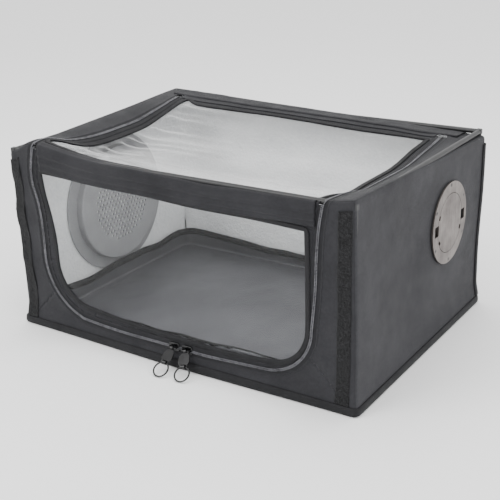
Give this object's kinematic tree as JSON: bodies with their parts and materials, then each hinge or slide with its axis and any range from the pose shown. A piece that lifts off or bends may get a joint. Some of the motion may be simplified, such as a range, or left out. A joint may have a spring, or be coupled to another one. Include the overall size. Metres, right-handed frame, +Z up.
{
  "type": "soft printer enclosure tent",
  "caption": "Box-shaped soft enclosure tent: rod frame in dark cloth with silver lining, clear L-shaped zip door over front and top, metal twist-cap port and a filter port.",
  "frame": {"origin": "centre of the base, on the surface that the tent stands on", "axes": "+Z up, -Y is the front with the zip door, +X is the wall with the metal port plate"},
  "size_m": [0.6086, 0.4736, 0.2966],
  "materials": {
    "shell_cloth": "coated oxford cloth, low sheen",
    "binding_tape": "woven tape",
    "loop_pile": "loop pile, matt",
    "reflective_lining": "metallised film, finely crinkled",
    "tray_cloth": "coated cloth, satin",
    "clear_film": "clear flexible film, gloss",
    "zip_coil": "moulded coil, semi-gloss",
    "rod_steel": "black powder coat",
    "corner_plastic": "moulded, matt",
    "slider_metal": "black gloss plate",
    "port_metal": "brushed, satin",
    "screw_steel": "plain steel",
    "gasket_rubber": "matt",
    "filter_fleece": "non-woven fleece",
    "grey_plastic": "moulded, fine texture",
    "dark_plastic": "moulded, fine texture"
  },
  "bodies": {
    "root": {"corner_bindings": "binding_tape", "corner_front_left_bottom": "corner_plastic", "corner_front_left_top": "corner_plastic", "corner_front_right_bottom": "corner_plastic", "corner_front_right_top": "corner_plastic", "corner_rear_left_bottom": "corner_plastic", "corner_rear_left_top": "corner_plastic", "corner_rear_right_bottom": "corner_plastic", "corner_rear_right_top": "corner_plastic", "filter_cover": "grey_plastic", "filter_flange": "grey_plastic", "filter_outer_cover": "dark_plastic", "filter_pad": "filter_fleece", "filter_screws": "screw_steel", "floor_panel": "shell_cloth", "floor_tray": "tray_cloth", "front_panel": "shell_cloth", "hem_binding": "binding_tape", "left_lining": "reflective_lining", "left_wall": "shell_cloth", "loop_strips": "loop_pile", "rear_flap_binding": "binding_tape", "rear_lining": "reflective_lining", "rear_wall": "shell_cloth", "right_lining": "reflective_lining", "right_wall": "shell_cloth", "rod_front_bottom": "rod_steel", "rod_front_left_upright": "rod_steel", "rod_front_right_upright": "rod_steel", "rod_front_top": "rod_steel", "rod_left_bottom": "rod_steel", "rod_left_top": "rod_steel", "rod_rear_bottom": "rod_steel", "rod_rear_left_upright": "rod_steel", "rod_rear_right_upright": "rod_steel", "rod_rear_top": "rod_steel", "rod_right_bottom": "rod_steel", "rod_right_top": "rod_steel", "top_panel": "shell_cloth", "tray_rim_binding": "binding_tape", "vent_collar": "corner_plastic", "vent_gasket": "gasket_rubber", "vent_ring_plate": "port_metal", "vent_screws": "screw_steel", "zip_end_stops": "slider_metal", "zip_shell_side": "zip_coil"},
    "top_flap": {"top_flap": "shell_cloth", "top_window": "clear_film", "zip_top_flap_side": "zip_coil"},
    "front_flap": {"front_flap": "shell_cloth", "front_window": "clear_film", "header_band": "shell_cloth", "zip_front_flap_side": "zip_coil"},
    "slider_left": {"slider_left": "slider_metal"},
    "pull_left": {"pull_tab_left": "slider_metal"},
    "ring_left": {"pull_ring_left": "slider_metal"},
    "slider_right": {"slider_right": "slider_metal"},
    "pull_right": {"pull_tab_right": "slider_metal"},
    "ring_right": {"pull_ring_right": "slider_metal"},
    "vent_cap": {"vent_cap": "port_metal"}
  },
  "joints": [
    {"name": "top_flap_fold", "type": "hinge", "parent": "root", "child": "top_flap", "pos_m": [0, 0.1685, 0.2956], "axis": [-1, 0, 0], "range_deg": [0, 170]},
    {"name": "front_flap_fold", "type": "hinge", "parent": "top_flap", "child": "front_flap", "pos_m": [0, -0.2132, 0.296], "axis": [-1, 0, 0], "range_deg": [0, 260]},
    {"name": "slider_left_travel", "type": "slide", "parent": "root", "child": "slider_left", "axis": [-1, 0, 0], "range_m": [0, 0.11]},
    {"name": "slider_right_travel", "type": "slide", "parent": "root", "child": "slider_right", "axis": [1, 0, 0], "range_m": [0, 0.115]},
    {"name": "pull_left_swing", "type": "hinge", "parent": "slider_left", "child": "pull_left", "pos_m": [0.0032, -0.2203, 0.03], "axis": [-1, 0, 0], "range_deg": [0, 115]},
    {"name": "ring_left_swing", "type": "hinge", "parent": "pull_left", "child": "ring_left", "pos_m": [0.0032, -0.24042, 0.01517], "axis": [-1, 0, 0], "range_deg": [0, 100]},
    {"name": "pull_right_swing", "type": "hinge", "parent": "slider_right", "child": "pull_right", "pos_m": [0.0268, -0.2203, 0.03], "axis": [-1, 0, 0], "range_deg": [0, 115]},
    {"name": "ring_right_swing", "type": "hinge", "parent": "pull_right", "child": "ring_right", "pos_m": [0.03535, -0.2387, 0.01539], "axis": [-0.9397, -0.2679, -0.2127], "range_deg": [0, 100]},
    {"name": "vent_cap_twist", "type": "hinge", "parent": "root", "child": "vent_cap", "pos_m": [0.3028, 0.078, 0.181], "axis": [1, 0, 0], "range_deg": [0, 25]}
  ]
}
